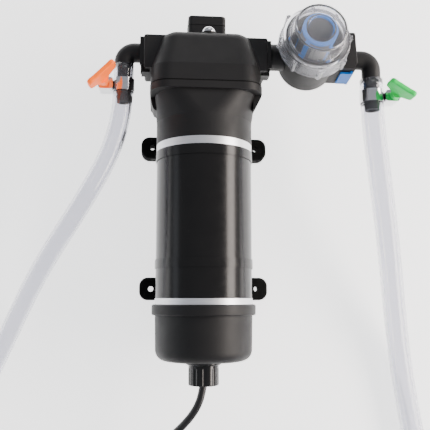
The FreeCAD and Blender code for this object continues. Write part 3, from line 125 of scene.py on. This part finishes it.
class Finish:
    """A node material under construction: a Principled BSDF and short ways to hang textures on it."""

    def __init__(self, name, colour, roughness=0.5, metallic=0.0, **sockets):
        self.material = bpy.data.materials.new(name)
        self.material.use_nodes = True
        self.tree = self.material.node_tree
        self.bsdf = self.tree.nodes["Principled BSDF"]
        self.bsdf.inputs["Base Color"].default_value = (*colour, 1)
        self.bsdf.inputs["Roughness"].default_value = roughness
        self.bsdf.inputs["Metallic"].default_value = metallic
        for socket, value in sockets.items():
            self.bsdf.inputs[socket.replace("_", " ")].default_value = value
        self.coords = self.tree.nodes.new("ShaderNodeTexCoord")

    def stretched(self, scale):
        """Object coordinates multiplied by scale along X, Y and Z."""
        mapping = self.tree.nodes.new("ShaderNodeMapping")
        mapping.inputs["Scale"].default_value = scale
        self.tree.links.new(self.coords.outputs["Object"], mapping.inputs["Vector"])
        return mapping.outputs["Vector"]

    def noise(self, scale, detail=4.0, stretch=(1, 1, 1), rough=0.55):
        node = self.tree.nodes.new("ShaderNodeTexNoise")
        node.inputs["Scale"].default_value = scale
        node.inputs["Detail"].default_value = detail
        node.inputs["Roughness"].default_value = rough
        self.tree.links.new(self.stretched(stretch), node.inputs["Vector"])
        return node.outputs["Fac"]

    def ramp(self, factor, stops):
        """A colour ramp from (place, grey or colour) stops."""
        node = self.tree.nodes.new("ShaderNodeValToRGB")
        marks = node.color_ramp.elements
        while len(marks) < len(stops):
            marks.new(0.5)
        for mark, (place, colour) in zip(marks, stops):
            mark.position = place
            mark.color = (*colour, 1) if isinstance(colour, tuple) else (colour, colour, colour, 1)
        self.tree.links.new(factor, node.inputs["Fac"])
        return node.outputs["Color"]

    def colour(self, factor, low, high, start=0.3, end=0.7):
        self.tree.links.new(self.ramp(factor, [(start, low), (end, high)]), self.bsdf.inputs["Base Color"])
        return self

    def rough(self, factor, low, high, start=0.3, end=0.7):
        self.tree.links.new(self.ramp(factor, [(start, low), (end, high)]), self.bsdf.inputs["Roughness"])
        return self

    def bump(self, factor, strength, distance):
        node = self.tree.nodes.new("ShaderNodeBump")
        node.inputs["Strength"].default_value = strength
        node.inputs["Distance"].default_value = distance
        self.tree.links.new(factor, node.inputs["Height"])
        before = self.bsdf.inputs["Normal"]
        if before.is_linked:
            self.tree.links.new(before.links[0].from_socket, node.inputs["Normal"])
        self.tree.links.new(node.outputs["Normal"], before)
        return self


def black_moulding():
    """The grained black plastic of the housing, the head, the strainer and the elbows."""
    finish = Finish("black_moulding", (0.012, 0.0115, 0.0117), 0.52, Specular_IOR_Level=0.3)
    finish.colour(finish.noise(22, 5), (0.0098, 0.0093, 0.0097), (0.0128, 0.0121, 0.0124))
    finish.rough(finish.noise(60, 4), 0.46, 0.58)
    finish.bump(finish.noise(2600, 2), 0.22, 0.00012)
    finish.bump(finish.noise(900, 3), 0.10, 0.0002)
    return finish.material


def can_paint():
    """The glossy black paint of the motor's can."""
    finish = Finish("can_paint", (0.006, 0.0055, 0.0055), 0.2, Specular_IOR_Level=0.3, Coat_Weight=0.05,
                    Coat_Roughness=0.12)
    finish.colour(finish.noise(30, 5), (0.0045, 0.004, 0.004), (0.0075, 0.007, 0.0068))
    finish.rough(finish.noise(180, 6), 0.19, 0.26)
    finish.bump(finish.noise(420, 4), 0.05, 0.0002)
    return finish.material


def metal(name, colour, low, high, stretch, scale=240, bump=0.12):
    """Bare metal with a grain; its roughness runs from low to high with the grain."""
    finish = Finish(name, colour, low, 1.0)
    grain = finish.noise(scale, 8, stretch, 0.7)
    finish.colour(grain, tuple(c * 0.82 for c in colour), colour)
    finish.rough(grain, low, high)
    finish.bump(grain, bump, 0.0001)
    return finish.material


def plastic(name, colour, roughness, bump_scale=1400, bump=0.08, vary=0.85, **sockets):
    """Moulded plastic or paint; its darkest patches have vary times the colour."""
    finish = Finish(name, colour, roughness, **sockets)
    finish.colour(finish.noise(45, 5), tuple(c * vary for c in colour), colour)
    finish.rough(finish.noise(150, 4), roughness * 0.85, min(1.0, roughness * 1.2))
    finish.bump(finish.noise(bump_scale, 2), bump, 0.0001)
    return finish.material


def painted_glow(material, strength):
    """Painted glow: the plastic gives off light in its own colour, standing in for light scattered back out
    of translucent plastic.
    """
    bsdf = material.node_tree.nodes["Principled BSDF"]
    source = bsdf.inputs["Base Color"].links[0].from_socket
    material.node_tree.links.new(source, bsdf.inputs["Emission Color"])
    bsdf.inputs["Emission Strength"].default_value = strength
    return material


def clear(name, tint, roughness, ior, through):
    """Transparent plastic; through is the share of the light that passes."""
    finish = Finish(name, tint, roughness, IOR=ior, Transmission_Weight=through)
    finish.rough(finish.noise(90, 4), roughness, roughness * 2.5)
    finish.colour(finish.noise(16, 3), tuple(c * 0.985 for c in tint), tint)
    return finish.material


def wire_mesh():
    """Fine woven wire: crossed waves set the gaps between the wires."""
    finish = Finish("wire_mesh", (0.6, 0.6, 0.65), 0.5, 0.6)
    weave = finish.tree.nodes.new("ShaderNodeTexWave")
    weave.inputs["Scale"].default_value = 380
    finish.tree.links.new(finish.stretched((0.0, 0.4, 1.0)), weave.inputs["Vector"])
    finish.colour(weave.outputs["Fac"], (0.34, 0.34, 0.38), (0.85, 0.85, 0.9))
    finish.bump(weave.outputs["Fac"], 0.5, 0.0002)
    return finish.material


def make_materials():
    return {
        "black_moulding": black_moulding(),
        "can_paint": can_paint(),
        "bare_aluminium": metal("bare_aluminium", (0.93, 0.93, 0.95), 0.34, 0.5, (1, 30, 1), 60),
        "gloss_black": plastic(
            "gloss_black", (0.006, 0.0056, 0.006), 0.18, 600, 0.04, 0.8, Specular_IOR_Level=0.4),
        "black_rubber": plastic(
            "black_rubber", (0.0045, 0.0045, 0.0045), 0.8, 1800, 0.3, Specular_IOR_Level=0.12),
        "bracket_paint": plastic(
            "bracket_paint", (0.012, 0.0115, 0.0115), 0.4, 900, 0.12, Specular_IOR_Level=0.3),
        "plain_steel": metal("plain_steel", (0.56, 0.56, 0.57), 0.28, 0.42, (1, 1, 4)),
        "polished_steel": metal("polished_steel", (0.74, 0.74, 0.76), 0.10, 0.2, (1, 6, 1), 90, 0.04),
        "laminations": metal("laminations", (0.3, 0.3, 0.31), 0.4, 0.5, (1, 60, 1)),
        "copper": metal("copper", (0.75, 0.36, 0.18), 0.3, 0.42, (1, 10, 1)),
        "ferrite": plastic("ferrite", (0.05, 0.05, 0.052), 0.6),
        "carbon": plastic("carbon", (0.02, 0.02, 0.02), 0.55),
        "phenolic": plastic("phenolic", (0.16, 0.075, 0.03), 0.5),
        "cast_aluminium": metal("cast_aluminium", (0.5, 0.5, 0.52), 0.45, 0.6, (1, 1, 1), 500, 0.3),
        "white_acetal": plastic("white_acetal", (0.75, 0.75, 0.72), 0.4),
        "clear_bowl": clear("clear_bowl", (0.92, 0.92, 0.95), 0.04, 1.45, 0.93),
        "clear_hose": clear("clear_hose", (0.78, 0.78, 0.83), 0.05, 1.5, 0.97),
        "screen_steel": wire_mesh(),
        # screen_blue, clip_blue, key_orange and key_green get a painted glow: emission in their own colour.
        "screen_blue": painted_glow(plastic("screen_blue", (0.09, 0.32, 0.9), 0.35), 0.35),
        "clip_blue": painted_glow(
            plastic("clip_blue", (0.002, 0.13, 0.50), 0.36, Specular_IOR_Level=0.3), 0.2),
        "key_orange": painted_glow(
            plastic("key_orange", (1.0, 0.15, 0.004), 0.4, 1200, 0.06, 0.94, Specular_IOR_Level=0.3), 0.7),
        "key_green": painted_glow(
            plastic("key_green", (0.0, 0.66, 0.10), 0.38, 1200, 0.06, 0.9, Specular_IOR_Level=0.25), 0.22),
        "cord_black": plastic("cord_black", (0.010, 0.0095, 0.010), 0.38, 700, 0.08),
    }


def dress_nodes(materials):
    """Every CAD node gets the finish that its record names."""
    for part in frame["record"]["subparts"]:
        node = bpy.data.objects[part["node"]]
        for slot in node.material_slots:
            slot.material = materials[part["material_slot"]]


FLOOR_REACH = 6.0
FLOOR_EMISSION = 2.0


def make_floor():
    """A plain pale floor that gives off light, like the lit background behind the pump."""
    mesh = bpy.data.meshes.new("floor")
    corners = [(x * FLOOR_REACH, y * FLOOR_REACH, 0) for x, y in ((-1, -1), (1, -1), (1, 1), (-1, 1))]
    mesh.from_pydata(corners, [], [(0, 1, 2, 3)])
    floor = add_object("floor", mesh)
    finish = Finish("floor", (0.85, 0.85, 0.85), 0.9)
    finish.bsdf.inputs["Emission Color"].default_value = (1, 1, 1, 1)
    finish.bsdf.inputs["Emission Strength"].default_value = FLOOR_EMISSION
    floor.data.materials.append(finish.material)


# ---------------------------------------------------------------- hoses and lead

# Control points in millimetres: from the pump to each coil, and from the lead's coil to its plug.
OUTLET_ROUTE = [
    (-76.8, 137.2, 72.0), (-76.9, 110.0, 72.0), (-79.9, 80.0, 71.8), (-89.5, 49.0, 70.5),
    (-106.0, 18.0, 67.5), (-124.5, -12.0, 61.5), (-143.5, -40.0, 50.5), (-161.0, -68.0, 36.0),
    (-177.0, -97.0, 20.0), (-191.5, -127.0, 10.4), (-206.0, -159.0, 9.3), (-222.5, -196.0, 9.3),
    (-238.5, -237.0, 9.3), (-252.0, -283.0, 9.3), (-258.0, -329.0, 9.3),
]
INLET_ROUTE = [
    (162.3, 129.8, 72.0), (162.4, 101.0, 72.0), (165.0, 67.0, 71.0), (170.4, 27.0, 67.0),
    (177.6, -14.0, 58.0), (185.8, -54.0, 44.0), (194.0, -95.0, 28.0), (201.6, -137.0, 16.0),
    (208.6, -180.0, 11.4), (216.0, -224.0, 11.1), (223.0, -268.0, 11.1), (227.2, -308.0, 11.1),
    (228.0, -345.0, 11.1),
]
CORD_ROUTE = [
    (0.0, -157.7, 58.0), (-1.6, -170.0, 58.0), (-8.0, -184.0, 56.7), (-18.5, -197.0, 52.0),
    (-31.5, -210.0, 44.0), (-45.0, -222.5, 34.0), (-57.0, -235.5, 25.0), (-66.5, -250.0, 19.2),
    (-72.3, -266.0, 17.6),
]
TAIL_ROUTE = [
    (-68.6, -285.8, 3.6), (-63.0, -298.0, 3.6), (-56.0, -310.0, 3.6), (-48.0, -321.5, 4.4),
    (-40.5, -331.5, 6.2), (-35.2, -342.0, 7.1),
]
STEPS = 24
CLIMB_START, CLIMB_TURNS = 0.68, 0.26
CORD_RADIUS = 3.5
CORD_COIL_CENTRE, CORD_COIL_START, CORD_COIL_TURNS = (-30.5, -268), 180, 6 + 20 / 360
CORD_LAYOUT = ((42, 17.6), (42, 10.6), (35, 10.6), (28, 10.6), (28, 3.6), (35, 3.6), (42, 3.6))
FIRST_SHIFT, SHIFT_TURNS = 200 / 360, 70 / 360


def smooth(x):
    """From 0 to 1 with level ends, as x goes from 0 to 1."""
    x = max(0.0, min(1.0, x))
    return x * x * (3 - 2 * x)


def circle_points(centre, turns, start, way, shape):
    """Control points of a coil with STEPS to a turn; shape(progress in turns) gives the radius and height."""
    points = []
    grow = 1 / math.cos(math.pi / STEPS)
    for i in range(1, int(round(turns * STEPS)) + 1):
        progress = i / STEPS
        angle = math.radians(start) + way * 2 * math.pi * progress
        radius, height = shape(progress)
        points.append((centre[0] + radius * grow * math.cos(angle),
                       centre[1] + radius * grow * math.sin(angle), height))
    return points


def spline(name, points, radius=0.0):
    """A curve object of one open NURBS through these control points, in millimetres."""
    curve = bpy.data.curves.new(name, "CURVE")
    curve.dimensions = "3D"
    line = curve.splines.new("NURBS")
    line.points.add(len(points) - 1)
    for point, place in zip(line.points, points):
        point.co = (*(c * MM for c in place), 1)
    line.order_u = 3
    line.use_endpoint_u = True
    line.resolution_u = 8
    curve.bevel_depth = radius * MM
    curve.bevel_resolution = 6
    curve.use_fill_caps = True
    return add_object(name, curve)


def line_of(points):
    """The points that the spline passes through, in metres."""
    guide = spline("guide", points)
    bpy.context.view_layer.update()
    mesh = bpy.data.meshes.new_from_object(guide)
    path = [v.co.copy() for v in mesh.vertices]
    bpy.data.objects.remove(guide)
    return path


def smooth_object(name, bm):
    """The object of a finished bmesh, with its faces turned outward and shaded smooth."""
    bmesh.ops.recalc_face_normals(bm, faces=bm.faces)
    for face in bm.faces:
        face.smooth = True
    mesh = bpy.data.meshes.new(name)
    bm.to_mesh(mesh)
    bm.free()
    return add_object(name, mesh)


def tube(name, path, walls, segments=40):
    """A hollow tube swept along path; walls gives its outer and its inner radius."""
    bm = bmesh.new()
    side = None
    rings = []
    for i, place in enumerate(path):
        before, after = path[max(i - 1, 0)], path[min(i + 1, len(path) - 1)]
        along = (after - before).normalized()
        side = along.orthogonal() if side is None else side
        side = (side - along * side.dot(along)).normalized()
        other = along.cross(side)
        ring = []
        for radius in walls:
            ring.append([
                bm.verts.new(place + (side * math.cos(a) + other * math.sin(a)) * radius)
                for a in (2 * math.pi * k / segments for k in range(segments))
            ])
        rings.append(ring)
    for j in range(len(walls)):
        for here, there in zip(rings, rings[1:]):
            for k in range(segments):
                n = (k + 1) % segments
                face = [here[j][k], here[j][n], there[j][n], there[j][k]]
                bm.faces.new(face if j == 0 else face[::-1])
    for ring, flip in ((rings[0], True), (rings[-1], False)):
        for k in range(segments):
            n = (k + 1) % segments
            face = [ring[0][k], ring[0][n], ring[1][n], ring[1][k]]
            bm.faces.new(face[::-1] if flip else face)
    return smooth_object(name, bm)


def make_hose(side, route, centre, turn_radius, start, way, turns, radius, bore, material):
    """A clear hose from its elbow to the end of its coil: the second turn climbs and lies on the first."""
    low, high = route[-1][2], route[-1][2] + 2 * radius

    def shape(progress):
        return turn_radius, low + (high - low) * smooth((progress - CLIMB_START) / CLIMB_TURNS)

    points = route + circle_points(centre, turns, start, way, shape)
    path = line_of(points)
    hose = tube(f"{side}_hose_line", path, (radius * MM, bore * MM))
    hose.data.materials.append(material)
    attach(hose, "pump")
    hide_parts(f"{side}_hose", f"{side}_hose_coil")


def make_lead(material):
    """The mains lead: from the gland down to its coil, round it from the top down, then to the plug."""

    def shape(progress):
        radius, height = CORD_LAYOUT[0]
        for i, (next_radius, next_height) in enumerate(CORD_LAYOUT[1:]):
            step = smooth((progress - FIRST_SHIFT - i) / SHIFT_TURNS)
            radius += (next_radius - CORD_LAYOUT[i][0]) * step
            height += (next_height - CORD_LAYOUT[i][1]) * step
        return radius, height

    coil = circle_points(CORD_COIL_CENTRE, CORD_COIL_TURNS, CORD_COIL_START, 1, shape)
    lead = spline("mains_lead", CORD_ROUTE + coil + TAIL_ROUTE, CORD_RADIUS)
    lead.data.materials.append(material)
    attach(lead, "pump")
    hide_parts("power_cord", "power_cord_coil", "power_cord_tail")


# ---------------------------------------------------------------- ribs of the bowl

STRAINER_X = 99.5 * MM
PORT_Y, PORT_Z = 149.5 * MM, 72 * MM
LEAN = math.radians(8)
SKIRT_RADIUS, SKIRT_LOW, SKIRT_SLOPE = 33.05, 23.5, 0.114
RIB_HEIGHTS = (25.0, 27.6, 30.2, 32.8, 35.4)
RIB_THICK = 0.42 * MM


def make_bowl_ribs(material):
    """Fine ribs round the skirt of the clear bowl, each a ring half sunk in the skirt's slope."""
    bm = bmesh.new()
    lean = Matrix.Translation((0, PORT_Y, PORT_Z)) @ Matrix.Rotation(-LEAN, 4, "X")
    around, across = 120, 10
    for height in RIB_HEIGHTS:
        reach = (SKIRT_RADIUS - (height - SKIRT_LOW) * SKIRT_SLOPE) * MM
        rings = []
        for i in range(around):
            turn = 2 * math.pi * i / around
            ring = []
            for k in range(across):
                tip = 2 * math.pi * k / across
                radius = reach + RIB_THICK * math.cos(tip)
                place = Vector((STRAINER_X + radius * math.cos(turn), radius * math.sin(turn),
                                height * MM + RIB_THICK * math.sin(tip)))
                ring.append(bm.verts.new(lean @ place))
            rings.append(ring)
        for i, ring in enumerate(rings):
            after = rings[(i + 1) % around]
            for k in range(across):
                n = (k + 1) % across
                bm.faces.new((ring[k], after[k], after[n], ring[n]))
    ribs = smooth_object("bowl_ribs", bm)
    ribs.data.materials.append(material)
    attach(ribs, "bowl")


# ---------------------------------------------------------------- everything

make_camera()
make_floor()
make_lights()
finishes = make_materials()
dress_nodes(finishes)
make_hose("outlet", OUTLET_ROUTE, centre=(-165.5, -331), turn_radius=92.5, start=180, way=1, turns=1.69,
          radius=9.25, bore=7.0, material=finishes["clear_hose"])
make_hose("inlet", INLET_ROUTE, centre=(118, -347), turn_radius=110, start=0, way=-1, turns=1.46,
          radius=11.0, bore=8.0, material=finishes["clear_hose"])
make_lead(finishes["cord_black"])
make_bowl_ribs(finishes["clear_bowl"])
